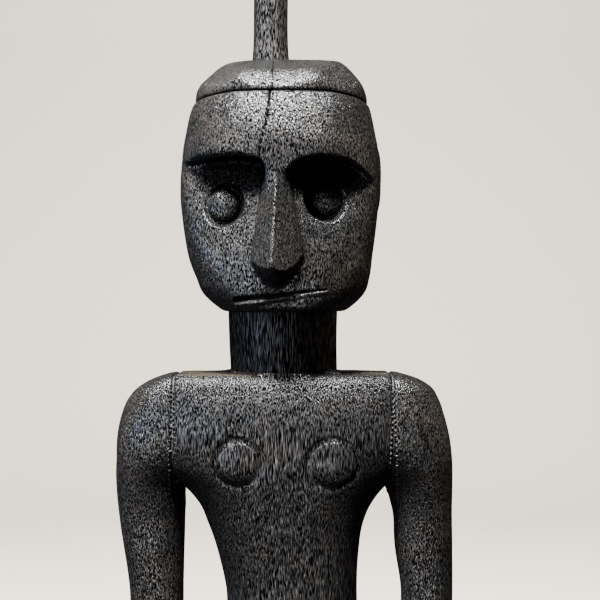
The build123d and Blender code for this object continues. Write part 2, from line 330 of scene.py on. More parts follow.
# ---------------------------------------------------------------- materials
def shader(name):
    material = bpy.data.materials.new(name)
    material.use_nodes = True
    nodes, links = material.node_tree.nodes, material.node_tree.links
    return material, nodes, links, nodes["Principled BSDF"]


def grain_coordinates(nodes, links, stretch, axis=2):
    """Object coordinates squeezed along the grain, so that what they drive is long along it."""
    place = nodes.new("ShaderNodeTexCoord")
    along = nodes.new("ShaderNodeMapping")
    squeeze = [1.0, 1.0, 1.0]
    squeeze[axis] = 1.0 / stretch
    along.inputs["Scale"].default_value = squeeze
    links.new(place.outputs["Object"], along.inputs["Vector"])
    return along.outputs["Vector"]


def noise(nodes, links, vector, size_mm, detail=2.0, roughness=0.5):
    made = nodes.new("ShaderNodeTexNoise")
    made.inputs["Scale"].default_value = 1.0 / (size_mm * MM)
    made.inputs["Detail"].default_value = detail
    made.inputs["Roughness"].default_value = roughness
    links.new(vector, made.inputs["Vector"])
    return made.outputs["Fac"]


def ramp(nodes, links, value, stops):
    made = nodes.new("ShaderNodeValToRGB")
    made.color_ramp.interpolation = "EASE"
    elements = made.color_ramp.elements
    while len(elements) < len(stops):
        elements.new(0.5)
    for element, (place, colour) in zip(elements, stops):
        element.position = place
        element.color = (*colour, 1.0) if isinstance(colour, tuple) else (colour, colour, colour, 1.0)
    links.new(value, made.inputs["Fac"])
    return made.outputs["Color"]


def blend_colour(nodes, links, kind, amount, a, b):
    made = nodes.new("ShaderNodeMix")
    made.data_type = "RGBA"
    made.blend_type = kind
    if isinstance(amount, float):
        made.inputs["Factor"].default_value = amount
    else:
        links.new(amount, made.inputs["Factor"])
    links.new(a, made.inputs["A"])
    links.new(b, made.inputs["B"])
    return made.outputs["Result"]


def bump(nodes, links, height, distance_mm, strength, under=None):
    made = nodes.new("ShaderNodeBump")
    made.inputs["Distance"].default_value = distance_mm * MM
    made.inputs["Strength"].default_value = strength
    links.new(height, made.inputs["Height"])
    if under is not None:
        links.new(under, made.inputs["Normal"])
    return made.outputs["Normal"]


def stained_wood(name, pore_mm, stretch, sheen_low, sheen_high, tone=1.0, shine=1.0, dust=0.0, axis=2):
    """Black-stained open-grained wood with a polished, waxy surface broken by short pores."""
    material, nodes, links, surface = shader(name)
    fibre = grain_coordinates(nodes, links, stretch, axis)
    streak = grain_coordinates(nodes, links, stretch * 3.0, axis)
    plain = grain_coordinates(nodes, links, 1.0)
    pores = noise(nodes, links, fibre, pore_mm, 1.0, 0.5)
    fine = noise(nodes, links, fibre, pore_mm * 0.45, 1.0, 0.5)
    bands = noise(nodes, links, streak, pore_mm * 2.6, 3.0, 0.6)
    patina = noise(nodes, links, plain, 16.0, 3.0, 0.6)
    stain = ramp(nodes, links, bands, [
        (0.30, (0.005 * tone, 0.0047 * tone, 0.0045 * tone)),
        (0.55, (0.012 * tone, 0.0110 * tone, 0.0103 * tone)),
        (0.78, (0.027 * tone, 0.0240 * tone, 0.0215 * tone)),
    ])
    worn = ramp(nodes, links, patina, [(0.40, 0.0), (0.75, 0.55)])
    warm = nodes.new("ShaderNodeRGB")
    warm.outputs[0].default_value = (0.028 * tone, 0.022 * tone, 0.0175 * tone, 1.0)
    stain = blend_colour(nodes, links, "MIX", worn, stain, warm.outputs[0])
    pits = ramp(nodes, links, pores, [(0.41, 0.08), (0.50, 0.75), (0.66, 2.5)])
    colour = blend_colour(nodes, links, "MULTIPLY", 1.0, stain, pits)
    # dull dust lies where the wood faces up
    facing = nodes.new("ShaderNodeNewGeometry")
    upward = nodes.new("ShaderNodeSeparateXYZ")
    links.new(facing.outputs["Normal"], upward.inputs["Vector"])
    settled = ramp(nodes, links, upward.outputs["Z"], [(0.86, 0.0), (0.985, dust)])
    dusty = nodes.new("ShaderNodeRGB")
    dusty.outputs[0].default_value = (0.17, 0.135, 0.095, 1.0)
    scattered = ramp(nodes, links, patina, [(0.40, 0.15), (0.62, 1.0)])
    settled = blend_colour(nodes, links, "MULTIPLY", 1.0, settled, scattered)
    colour = blend_colour(nodes, links, "MIX", settled, colour, dusty.outputs[0])
    # painted shade: recesses get darker colour and less polish, standing in for the shade under the brows, at
    # the eyes and inside the head
    layer = nodes.new("ShaderNodeAttribute")
    layer.attribute_name = "painted_shade"
    painted_shade_multiplier = ramp(nodes, links, layer.outputs["Fac"], [(0.0, 1.0), (1.0, 0.18)])
    colour = blend_colour(nodes, links, "MULTIPLY", 1.0, colour, painted_shade_multiplier)
    links.new(colour, surface.inputs["Base Color"])
    gloss = ramp(nodes, links, pores, [(0.43, 0.95), (0.50, sheen_high), (0.62, sheen_low)])
    links.new(gloss, surface.inputs["Roughness"])
    polish = ramp(nodes, links, pores, [(0.42, 0.02), (0.55, 0.5 * shine), (0.66, 1.0 * shine)])
    polish = blend_colour(nodes, links, "MULTIPLY", 1.0, polish, painted_shade_multiplier)
    links.new(polish, surface.inputs["Specular IOR Level"])
    depths = ramp(nodes, links, pores, [(0.38, 0.0), (0.50, 0.85), (0.75, 1.0)])
    relief = bump(nodes, links, bands, 0.6, 0.4)
    relief = bump(nodes, links, depths, 0.28, 0.85, relief)
    relief = bump(nodes, links, fine, 0.10, 0.7, relief)
    links.new(relief, surface.inputs["Normal"])
    return material


def pitch_material():
    material, nodes, links, surface = shader("pitch")
    plain = grain_coordinates(nodes, links, 1.0)
    lumps = noise(nodes, links, plain, 1.1, 3.0, 0.6)
    colour = ramp(nodes, links, lumps, [(0.35, (0.004, 0.0037, 0.0035)), (0.65, (0.026, 0.023, 0.019))])
    links.new(colour, surface.inputs["Base Color"])
    gloss = ramp(nodes, links, lumps, [(0.35, 0.8), (0.65, 0.4)])
    links.new(gloss, surface.inputs["Roughness"])
    links.new(bump(nodes, links, lumps, 0.5, 0.9), surface.inputs["Normal"])
    return material


def raw_wood_material():
    material, nodes, links, surface = shader("raw_wood")
    fibre = grain_coordinates(nodes, links, 8.0)
    lines = noise(nodes, links, fibre, 0.9, 3.0, 0.6)
    colour = ramp(nodes, links, lines, [(0.3, (0.20, 0.11, 0.05)), (0.7, (0.46, 0.29, 0.15))])
    links.new(colour, surface.inputs["Base Color"])
    gloss = ramp(nodes, links, lines, [(0.3, 0.8), (0.7, 0.6)])
    links.new(gloss, surface.inputs["Roughness"])
    links.new(bump(nodes, links, lines, 0.3, 0.5), surface.inputs["Normal"])
    return material


carved_wood = stained_wood("carved_wood", pore_mm=0.27, stretch=4.4, sheen_low=0.25, sheen_high=0.42)
body_wood = stained_wood("body_wood", pore_mm=0.25, stretch=15.0, sheen_low=0.30, sheen_high=0.5,
                         tone=0.75, shine=0.85, dust=0.2)
stem_wood = stained_wood("turned_wood", pore_mm=0.3, stretch=7.0, sheen_low=0.36, sheen_high=0.55, tone=1.2)
# painted shade: the neck's wood is a darker, duller copy (tone and shine 0.5), standing in for the shadow
# under the chin
neck_wood_painted_shade = stained_wood("neck_wood_painted_shade", pore_mm=0.26, stretch=16.0, sheen_low=0.42, sheen_high=0.6,
                         tone=0.5, shine=0.5)
plinth_wood = stained_wood("plinth_wood", pore_mm=0.6, stretch=9.0, sheen_low=0.42, sheen_high=0.7,
                           tone=0.7, shine=0.7, dust=0.12, axis=0)
pitch = pitch_material()
raw_wood = raw_wood_material()

# ---------------------------------------------------------------- head
# each oval: height, centre x and y, half width, half depth
head_ovals = OvalStack(
    [
        (JAW - 0.8, HEAD_X + 1.0, -3.2, 21.2, 29.4),
        (JAW + 0.4, HEAD_X + 1.0, -3.4, 22.8, 30.0),
        (JAW + 2.2, HEAD_X + 1.0, -3.7, 25.1, 30.2),
        (JAW + 5.4, HEAD_X + 0.9, -4.1, 28.3, 29.9),
        (JAW + 11.4, HEAD_X + 0.6, -3.8, 30.8, 30.8),
        (JAW + 19.4, HEAD_X - 0.2, -2.8, 32.8, 32.6),
        (JAW + 29.4, HEAD_X - 0.4, -1.2, 34.5, 34.6),
        (JAW + 40.4, HEAD_X - 0.4, -0.3, 35.6, 36.0),
        (JAW + 51.4, HEAD_X - 0.3, -0.2, 35.4, 36.2),
        (JAW + 57.0, HEAD_X - 0.2, -0.3, 34.9, 35.4),
        (JAW + 62.0, HEAD_X - 0.2, -0.3, 34.0, 34.1),
        (JAW + 68.4, HEAD_X - 0.1, -0.2, 32.7, 32.2),
        (SEAM, HEAD_X, -0.2, 30.5, 29.4),
    ],
    squareness=2.3,
    edge=1.4,
)
BROW = JAW + 51.4
SIDES = (
    # side, inner wall x, socket centre x and z, eye centre x and z
    (-1, -5.8, (-20.9, JAW + 36.4), (-20.4, JAW + 35.9)),
    (1, 1.2, (14.2, JAW + 37.8), (15.4, JAW + 37.8)),
)
brow_lines = {
    -1: Curve(
        [(-38.0, JAW + 48.0), (-33.0, JAW + 50.0), (-25.0, JAW + 51.4), (-12.0, JAW + 51.4),
         (-7.0, JAW + 49.8), (-3.0, JAW + 44.0)]
    ),
    1: Curve(
        [(-1.0, JAW + 44.0), (4.0, JAW + 49.4), (9.0, JAW + 51.4), (15.0, JAW + 51.8), (21.0, JAW + 51.0),
         (26.0, JAW + 48.6), (34.0, JAW + 41.0)]
    ),
}
NOSE_TOP = (-2.1, -34.6, JAW + 50.5)
NOSE_TIP = (-3.7, -46.0, JAW + 14.0)
NOSE_LEFT = (-10.8, -34.6, JAW + 16.5)
NOSE_RIGHT = (7.4, -34.6, JAW + 17.5)
NOSE_BASE = (-2.2, -34.0, JAW + 7.6)
SOCKET_Y = -26.0
SOCKET_RADII = (7.7, 7.4, 8.1)
EYE_Y = -21.4
EYE_RADII = (5.8, 3.2, 5.8)
EAR_RADII = (2.1, 5.0, 12.8)
# nose, mouth and cracks reach no further back than this
FACE_BACK = -15.0
# the mouth's two ends, as x and z
MOUTH_START = np.array([-16.8, JAW + 3.7])
MOUTH_END = np.array([15.2, JAW + 7.0])
MOUTH_DEPTH = 3.4
HEAD_MARKS = 0.8
CRACK_WIDTH = 0.29
SHORT_CRACK_WIDTH = 0.14
CAVITY_RADIUS = 18.0
CAVITY_FLOOR = 366.0
TENON_BORE = 11.05
TENON_TOP = 350.15
crack_path = Curve(
    [
        (JAW + 46.0, -8.2),
        (JAW + 51.0, -7.9),
        (JAW + 56.5, -7.1),
        (JAW + 62.5, -5.6),
        (JAW + 68.0, -4.8),
        (SEAM, -4.4),
    ]
)
short_crack_path = Curve([(SEAM - 7.0, 3.6), (SEAM - 3.5, 2.9), (SEAM, 3.2)])


def seam_height(p):
    """The cut between head and lid: level in front, drooping a little at both sides."""
    aside = np.clip((np.abs(p[:, 0] - HEAD_X) - 15.0) / 15.0, 0.0, 1.2)
    return SEAM - 0.8 - 1.5 * aside**1.6


def nose(p):
    left = -face_normal(NOSE_TOP, NOSE_TIP, NOSE_LEFT)
    left = left if left[0] < 0 else -left
    right = face_normal(NOSE_TOP, NOSE_TIP, NOSE_RIGHT)
    right = right if right[0] > 0 else -right
    wedge = smooth_max(half_space(p, NOSE_TOP, left), half_space(p, NOSE_TOP, right), 1.0)
    # the underside is a rounded keel that slopes back to the lip
    keel = NOSE_BASE[2] + 0.52 * (NOSE_BASE[1] - p[:, 1]) + 0.127 * (p[:, 0] - NOSE_BASE[0]) ** 2
    wedge = smooth_max(wedge, (keel - p[:, 2]) / 1.3, 0.7)
    near = half_space(p, (-6.6, 0.0, JAW + 45.0), (-1.0, 0.0, 0.144))
    far = half_space(p, (2.0, 0.0, JAW + 45.0), (1.0, 0.0, 0.2))
    wedge = smooth_max(wedge, smooth_max(near, far, 1.0), 1.0)
    wedge = smooth_max(wedge, p[:, 2] - JAW - 56.0, 4.0)
    return np.maximum(wedge, p[:, 1] - FACE_BACK)


def brow_hollow(p, side, inner):
    """The recess under one half of the brow, whose back leans out until it meets the cheek."""
    turn = math.radians(22.0)
    lean = math.radians(14.0)
    into = (-side * math.sin(turn) * math.cos(lean), math.cos(turn) * math.cos(lean), -math.sin(lean))
    back = half_space(p, (side * 7.0, -25.6, BROW), into)
    within = half_space(p, (inner, 0.0, 0.0), (-side, 0.0, 0.0))
    recess = smooth_max(back, within, 3.0)
    ceiling = (p[:, 2] - brow_lines[side](p[:, 0])) / 1.05
    return smooth_max(recess, ceiling, 1.6)


def from_mouth(p):
    """How far each point is along the mouth, as a share of it, above its line, and past its ends."""
    run = MOUTH_END - MOUTH_START
    length = np.linalg.norm(run)
    run = run / length
    along = (p[:, 0] - MOUTH_START[0]) * run[0] + (p[:, 2] - MOUTH_START[1]) * run[1]
    above = (p[:, 2] - MOUTH_START[1]) * run[0] - (p[:, 0] - MOUTH_START[0]) * run[1]
    return along / length, above, np.maximum(-along, along - length)


def mouth(p, depth):
    """A straight slit that opens towards its start, with a lower edge that slopes out."""
    share, above, past_ends = from_mouth(p)
    open_by = np.clip(1.15 - 0.95 * share, 0.2, 1.0)
    lower_edge = -0.25 - 0.62 * np.clip(1.9 - depth, 0.0, 4.0)
    slot = smooth_max(above - 0.5 * open_by, lower_edge * open_by - above, 0.2)
    slot = smooth_max(slot, past_ends, 0.5)
    return np.maximum(np.maximum(slot, depth - MOUTH_DEPTH), p[:, 1] - FACE_BACK)


def lower_lip(p, depth):
    """A low ridge just under the mouth, thicker towards the mouth's start."""
    share, above, past_ends = from_mouth(p)
    thick = np.clip(1.15 - 0.6 * share, 0.4, 1.0)
    ridge = np.hypot(above + 1.6 * thick, depth - 0.5) - 1.25 * thick
    ridge = np.maximum(ridge, past_ends + 0.5)
    return np.maximum(ridge, p[:, 1] - FACE_BACK)


def crack(p, path, width, depth, bottom, top):
    """A drying crack that follows a path up the front, ragged, and a little wider at its top."""
    ragged = 0.22 * rough(p, (40.0, 40.0, 3.0), 71)
    gap = np.abs(p[:, 0] - path(p[:, 2]) - ragged)
    taper = np.clip((p[:, 2] - bottom) / (top - bottom), 0.0, 1.0)
    slit = gap - width * (0.7 + 0.3 * taper) * np.clip(1.0 - depth / 3.2, 0.0, 1.0)
    slit = np.maximum(slit, bottom - p[:, 2])
    return np.maximum(slit, p[:, 1] - FACE_BACK)


def head_field(p):
    solid = head_ovals(p)
    # the face is planed a little flatter below the brow
    solid = smooth_max(solid, half_space(p, (0.0, -35.0, JAW + 24.0), (0.0, -1.0, -0.06)), 3.0)
    # the hollows' edges are crisper higher up, and softest at the brow on the -X side
    soft = np.interp(p[:, 2] - JAW, (26.0, 40.0, 48.0), (4.0, 2.5, 1.5))
    right_brow = np.clip((-8.0 - p[:, 0]) / 10.0, 0.0, 1.0) * np.clip((p[:, 2] - JAW - 44.0) / 4.0, 0.0, 1.0)
    soft = soft + right_brow * 2.0
    for side, inner, _, _ in SIDES:
        solid = cut(solid, brow_hollow(p, side, inner), soft)
    # the lip is hollowed to a crisp round edge under the nose
    pocket = ellipsoid(p, (-2.0, -37.0, JAW + 15.6), (8.4, 4.6, 8.2))
    solid = cut(solid, pocket, 0.4)
    solid = smooth_min(solid, nose(p), 0.9)
    for side, _, socket, eye in SIDES:
        hole = ellipsoid(p, (socket[0], SOCKET_Y, socket[1]), SOCKET_RADII, about_x=-10.0)
        solid = cut(solid, hole, 0.7)
        ball = ellipsoid(p, (eye[0], EYE_Y, eye[1]), EYE_RADII, about_x=-4.0, about_z=side * 10.0)
        ball = ball + 0.25 * rough(p, 3.4, 19)
        solid = smooth_min(solid, ball, 0.5)
    for side in (-1, 1):
        ear = ellipsoid(p, (HEAD_X + side * 34.2, 8.0, JAW + 47.0), EAR_RADII, about_z=side * 10.0)
        dent = ellipsoid(p, (HEAD_X + side * 36.9, 7.6, JAW + 48.0), (1.4, 2.4, 8.6))
        solid = cut(smooth_min(solid, ear, 0.9), dent, 0.8)
    outside = solid + tool_marks(p, 11, HEAD_MARKS)
    depth = -outside
    outside = cut(smooth_min(outside, lower_lip(p, depth), 0.8), mouth(p, depth), 0.2)
    outside = cut(outside, crack(p, crack_path, CRACK_WIDTH, depth, JAW + 46.0, SEAM), 0.15)
    outside = cut(outside, crack(p, short_crack_path, SHORT_CRACK_WIDTH, depth, SEAM - 7.0, SEAM), 0.15)
    outside = smooth_max(outside, np.maximum(p[:, 2] - seam_height(p), JAW - 0.8 - p[:, 2]), 1.1)
    outside = cut(outside, upright_rod(p, 0.0, 0.0, NECK_RADIUS + 1.2, JAW - 9.0, JAW, 0.2), 0.2)
    hollow = upright_rod(p, 0.0, 0.0, CAVITY_RADIUS, CAVITY_FLOOR, SEAM + 40.0, 2.5)
    hollow = hollow + 0.12 * rough(p, (3.0, 3.0, 9.0), 17)
    bore = upright_rod(p, 0.0, 0.0, TENON_BORE, JAW - 40.0, TENON_TOP, 0.3)
    return cut(cut(outside, hollow, 1.0), bore, 0.5)


def painted_recess_shade(p):
    """Painted shade: 1 deep under the brows and inside the head, about a third as much at the eyes, 0 on the
    skin.
    """
    depth = np.clip((-head_ovals(p) - 1.5) / 6.0, 0.0, 1.0)
    eyeward = np.clip((BROW - 7.5 - p[:, 2]) / 6.0, 0.0, 1.0)
    return depth * (1.0 - np.where(p[:, 0] < 0.0, 0.64, 0.7) * eyeward)


# ---------------------------------------------------------------- lid and stem
LID_BASE = SEAM + 0.12
lid_dome = Curve(
    [
        (-1.0, LID_BASE + 13.2),
        (10.0, LID_BASE + 13.1),
        (18.0, LID_BASE + 12.6),
        (23.0, LID_BASE + 11.6),
        (27.0, LID_BASE + 8.6),
        (30.0, LID_BASE + 4.0),
        (31.6, LID_BASE - 1.0),
    ]
)
# flat facets left by the knife: direction in degrees, distance out, height, and steepness of rise
LID_FACETS = (
    (2, 25.8, 7.0, 0.81),
    (45, 25.8, 7.0, 0.85),
    (90, 24.5, 7.2, 0.95),
    (135, 24.5, 7.2, 1.00),
    (178, 24.0, 7.9, 1.05),
    (178, 15.0, 12.4, 3.40),
    (222, 25.6, 6.6, 0.90),
    (268, 25.2, 6.4, 0.62),
    (268, 25.0, 6.8, 2.60),
    (316, 26.0, 6.8, 0.78),
)
LID_EDGE = 30.7
LID_GAP = 0.12
LID_CRACK_WIDTH = 0.2
SPIGOT_RADIUS = 17.7
STEM_TENON_HOLE = 4.5
STEM_TENON = 4.4
lid_crack_path = Curve([(LID_BASE - 2.0, -3.9), (LID_BASE + 6.0, -3.5), (LID_BASE + 14.0, -3.2)])


def lid_field(p):
    across, along = p[:, 0] - HEAD_X, (p[:, 1] + 0.2) * 1.035
    round_radius = (np.abs(across) ** 2.25 + np.abs(along) ** 2.25) ** (1 / 2.25)
    top = lid_dome(round_radius)
    slope = lid_dome(round_radius + 0.5) - lid_dome(round_radius - 0.5)
    solid = (p[:, 2] - top) / np.sqrt(1.0 + slope**2)
    solid = smooth_max(solid, round_radius - LID_EDGE, 1.0)
    for angle, reach, height, rise in LID_FACETS:
        direction = (math.cos(math.radians(angle)), math.sin(math.radians(angle)), rise)
        point = (HEAD_X + reach * direction[0], -0.8 + reach * direction[1], LID_BASE + height)
        solid = smooth_max(solid, half_space(p, point, direction), 1.3)
    solid = solid + tool_marks(p, 23, 0.55)
    split = crack(p, lid_crack_path, LID_CRACK_WIDTH, -solid, LID_BASE - 9.0, LID_BASE - 2.0)
    solid = cut(solid, split, 0.15)
    solid = smooth_max(solid, seam_height(p) + LID_GAP - p[:, 2], 1.0)
    spigot = upright_rod(p, 0.0, 0.0, SPIGOT_RADIUS, lid_low[2], LID_BASE + 2.0, 1.0)
    solid = smooth_min(solid, spigot, 0.4)
    tenon = upright_rod(p, STEM_X, STEM_Y, STEM_TENON_HOLE, stem_low[2], LID_BASE + 40.0, 0.2)
    return cut(solid, tenon, 0.4)


stem_radius = Curve(
    [
        (LID_BASE + 9.0, 6.9),
        (LID_BASE + 13.5, 6.75),
        (LID_BASE + 17.0, 6.45),
        (LID_BASE + 40.0, 6.15),
        (stem_high[2], 5.9),
    ]
)


def stem_field(p):
    shaft = np.hypot(p[:, 0] - STEM_X, p[:, 1] - STEM_Y) - stem_radius(p[:, 2])
    # whittled, so it is a little many-sided
    angle = np.arctan2(p[:, 1] - STEM_Y, p[:, 0] - STEM_X)
    shaft = shaft + 0.09 * np.cos(9 * angle + 0.03 * p[:, 2]) + 0.10 * rough(p, (5.0, 5.0, 14.0), 31)
    shaft = smooth_max(shaft, np.maximum(p[:, 2] - stem_high[2], LID_BASE + 9.0 - p[:, 2]), 2.2)
    tenon = upright_rod(p, STEM_X, STEM_Y, STEM_TENON, stem_low[2], LID_BASE + 12.0, 0.6)
    return np.minimum(shaft, tenon)


# ---------------------------------------------------------------- neck
LOWER_TENON = 12.95
UPPER_TENON = 11.0


def neck_field(p):
    """A plain cylinder, slightly wider and further to -X at its top, with a tenon at each end."""
    higher = np.clip((p[:, 2] - SHOULDER) / (JAW - SHOULDER), 0.0, 1.0)
    around = np.hypot(p[:, 0] + 0.5 * higher, p[:, 1]) - NECK_RADIUS - 0.5 * higher
    barrel = around + 0.16 * rough(p, (9.0, 9.0, 16.0), 41) + 0.05 + 0.06 * rough(p, (2.5, 2.5, 12.0), 42)
    barrel = smooth_max(barrel, np.maximum(p[:, 2] - JAW + 0.03, SHOULDER - 0.5 - p[:, 2]), 0.8)
    lower = upright_rod(p, 0.0, 0.0, LOWER_TENON, neck_low[2], SHOULDER + 2.0, 1.0)
    upper = upright_rod(p, 0.0, 0.0, UPPER_TENON, JAW - 2.0, neck_high[2], 1.0)
    return np.minimum(np.minimum(barrel, lower), upper)


# ---------------------------------------------------------------- trunk and legs
CROTCH = GROUND + 132.0
trunk_ovals = OvalStack(
    [
        (CROTCH, 0.0, 0.0, 20.0, 13.0),
        (CROTCH + 10, 0.0, 0.0, 25.5, 17.5),
        (CROTCH + 24, 0.4, 1.0, 29.0, 21.0),
        (192, 1.0, 0.6, 29.4, 22.4),
        (206, 1.6, 0.0, 26.5, 22.0),
        (230, 2.9, 0.0, 23.2, 20.4),
        (246, 1.5, 0.0, 25.0, 21.5),
        (257, 0.6, 0.0, 27.7, 22.8),
        (264, 0.6, 0.0, 30.8, 23.6),
        (271, 0.4, 0.0, 37.0, 24.4),
        (277, 0.0, 0.0, 45.0, 25.0),
        (288, 0.0, 0.0, 52.0, 25.7),
        (297, 0.0, 0.0, 52.0, 24.5),
        (303, 0.0, 0.0, 51.5, 22.9),
        (307.5, 0.0, 0.0, 50.0, 21.2),
        (SHOULDER, 0.0, 0.0, 48.0, 19.8),
    ],
    squareness=2.7,
    edge=2.4,
)
leg_ovals = {
    side: OvalStack(
        [
            (GROUND + 6, 19.0, 3.5, 8.8, 10.5),
            (46, 19.0, 3.0, 8.3, 9.6),
            (66, 19.0, 3.6, 10.9, 12.8),
            (84, 18.5, -1.0, 10.3, 11.3),
            (99, 18.0, -4.0, 11.3, 12.0),
            (124, 17.0, -2.0, 12.9, 15.0),
            (150, 16.0, 0.0, 14.2, 17.6),
            (CROTCH + 12, 15.2, 0.5, 14.2, 18.6),
            (CROTCH + 30, 14.8, 0.5, 12.8, 18.0),
        ],
        squareness=2.2,
        edge=6.0,
        side=side,
    )
    for side in (-1, 1)
}
# each breast: centre x and z, and radius
BREASTS = ((-15.4, 280.2, 7.5), (16.9, 280.0, 8.0))
SPINE_RADII = (4.2, 4.6)
TRUNK_MARKS = 0.9
NECK_HOLE = 13.0


def foot(p, side):
    x = side * 19.0
    block = rounded_box(p, (x, -11.8, GROUND + 9.0), (10.3, 26.0, 11.5), 4.5)
    block = smooth_max(block, half_space(p, (x, -20.0, GROUND + 9.6), (0.0, -0.30, 0.95)), 3.0)
    for toe in (-2, -1, 0, 1):
        gap = np.abs(p[:, 0] - x - 2.05 - toe * 4.1)
        groove = gap - 0.55 - 0.2 * np.clip((p[:, 2] - GROUND - 3.0) / 4.0, 0.0, 1.0)
        groove = np.maximum(groove, p[:, 1] + 28.5 + 0.8 * toe * side)
        block = cut(block, groove, 0.9)
    return np.maximum(block, GROUND - p[:, 2])


def trunk_without_seams(p):
    solid = trunk_ovals(p)
    lower = p[:, 2] < CROTCH + 40
    if lower.any():
        q = p[lower]
        part = solid[lower]
        for side in (-1, 1):
            leg = leg_ovals[side](q)
            knee = ellipsoid(q, (side * 18.2, -13.0, 99.0), (6.5, 4.5, 8.5))
            leg = smooth_min(leg, knee, 3.0)
            leg = smooth_min(leg, foot(q, side), 4.0)
            part = smooth_min(part, leg, 3.0)
            seat = ellipsoid(q, (side * 12.5, 12.0, CROTCH + 18.0), (13.5, 13.5, 16.0))
            part = smooth_min(part, seat, 5.0)
        solid[lower] = part
    return solid


def trunk_field(p):
    solid = trunk_without_seams(p)
    spine = capsule(p, (0.8, 27.5, CROTCH + 50.0), (0.0, 28.5, SHOULDER - 14.0), *SPINE_RADII)
    solid = cut(solid, spine, 5.0)
    for side in (-1, 1):
        blade = ellipsoid(p, (side * 20.0, 20.5, SHOULDER - 24.0), (13.0, 5.4, 17.0), about_z=side * 12.0)
        solid = smooth_min(solid, blade, 4.0)
    navel = ellipsoid(p, (1.2, -20.6, 222.0), (2.6, 2.2, 2.6))
    solid = smooth_min(solid, navel, 1.0)
    solid = solid + tool_marks(p, 51, TRUNK_MARKS)
    for x, z, radius in BREASTS:
        around = np.hypot(p[:, 0] - x, p[:, 2] - z)
        front = np.maximum(np.abs(p[:, 1] + 24.6) - 6.0, 0.0)
        ring = np.hypot(around - radius - 0.3, np.minimum(solid, 3.0)) - 0.95
        solid = cut(solid, np.maximum(ring, front), 0.8)
        boss = ellipsoid(p, (x, -22.8, z), (radius + 0.2, 2.9, radius + 0.2))
        solid = smooth_min(solid, boss, 0.6)
    # a small dead knot and the split above it
    knot = ellipsoid(p, (-17.8, -26.4, 288.2), (1.7, 2.4, 2.3))
    solid = cut(solid, knot, 0.6)
    aside = np.abs(p[:, 0] + 18.6 - 0.05 * (p[:, 2] - 288.0)) - 0.3
    split = np.maximum(aside, np.abs(p[:, 2] - 291.5) - 3.2)
    solid = cut(solid, np.maximum(split, p[:, 1] + 22.0), 0.2)
    # the rough ledge left where the neck is let in
    ledge = np.hypot(p[:, 0], p[:, 1])
    ledge = np.maximum(np.abs(ledge - 19.5) - 1.3, np.abs(p[:, 2] - SHOULDER + 0.2) - 1.3)
    ledge = ledge + 0.4 * rough(p, (4.5, 4.5, 3.0), 57) + 0.15
    solid = smooth_min(solid, ledge, 1.2)
    lump = ellipsoid(p, (16.8, -13.2, SHOULDER + 0.2), (3.6, 2.6, 1.7))
    solid = smooth_min(solid, lump, 0.8)
    for side in (-1, 1):
        solid = smooth_max(solid, side * p[:, 0] - TRUNK_SIDE, 0.8)
    solid = cut(solid, upright_rod(p, 0.0, 0.0, NECK_HOLE, neck_low[2] - 0.1, SHOULDER + 40.0, 0.3), 0.3)
    seat = upright_rod(p, 0.0, 0.0, NECK_RADIUS + 0.1, SHOULDER - 0.5, SHOULDER + 40.0, 0.3)
    solid = cut(solid, seat, 0.3)
    return np.maximum(solid, GROUND - p[:, 2])


# ---------------------------------------------------------------- arms
ARMS = {
    1: {
        "name": "left",
        "ovals": [
            (213, 51.2, 0.0, 8.8, 9.2),
            (222, 51.2, 0.0, 9.2, 9.8),
            (232, 51.2, 0.0, 9.3, 10.2),
            (248, 50.2, 0.0, 10.2, 11.4),
            (262, 49.4, 0.0, 11.0, 13.2),
            (271, 47.8, 0.0, 12.6, 15.6),
            (279, 43.4, 0.0, 16.9, 18.6),
            (287, 39.8, 0.0, 19.7, 20.2),
            (295, 38.4, 0.0, 19.2, 20.0),
            (301, 38.0, 0.0, 17.4, 19.0),
            (305.5, 38.0, 0.0, 14.2, 17.6),
            (308.2, 38.0, 0.0, 9.4, 16.2),
            (309.9, 38.0, 0.0, 4.8, 14.6),
        ],
        "elbow": (50.9, 1.0, 217.0),
        "wrist": (24.0, -26.0, 206.5),
        "seed": 61,
    },
    -1: {
        "name": "right",
        "ovals": [
            (218, 45.6, 0.0, 9.2, 9.4),
            (226, 45.6, 0.0, 9.5, 9.9),
            (234, 45.8, 0.0, 9.7, 10.4),
            (248, 46.7, 0.0, 10.9, 11.6),
            (262, 47.4, 0.0, 12.0, 13.2),
            (271, 47.2, 0.0, 12.7, 15.6),
            (279, 43.6, 0.0, 16.4, 18.6),
            (287, 40.2, 0.0, 19.6, 20.2),
            (295, 38.4, 0.0, 19.8, 20.0),
            (301, 38.0, 0.0, 17.6, 19.0),
            (305.5, 38.0, 0.0, 13.4, 17.6),
            (308.2, 38.0, 0.0, 8.6, 16.2),
            (309.9, 38.0, 0.0, 4.4, 14.6),
        ],
        "elbow": (45.6, 0.6, 221.0),
        "wrist": (24.0, -26.0, 209.5),
        "seed": 65,
    },
}
for side, arm in ARMS.items():
    arm["stack"] = OvalStack(arm["ovals"], squareness=2.25, edge=3.0, side=side)


def hand(p, side, wrist):
    """A flat hand laid on the belly, with the thumb along its top and grooves between fingers."""
    x, y, z = wrist
    palm = rounded_box(p, (side * (x - 8.6), y + 0.9, z), (11.0, 3.7, 7.0), 2.8)
    for groove in (-1, 0, 1):
        line = np.hypot(p[:, 2] - z - groove * 3.5, np.minimum(p[:, 1] - y + 2.9, 0.0)) - 0.62
        line = np.maximum(line, side * p[:, 0] - (x - 8.0))
        palm = cut(palm, line, 0.7)
    thumb = capsule(p, (side * (x - 2.0), y - 1.0, z + 6.6), (side * (x - 11.0), y - 0.6, z + 8.3), 2.6, 2.1)
    return smooth_min(palm, thumb, 0.9)


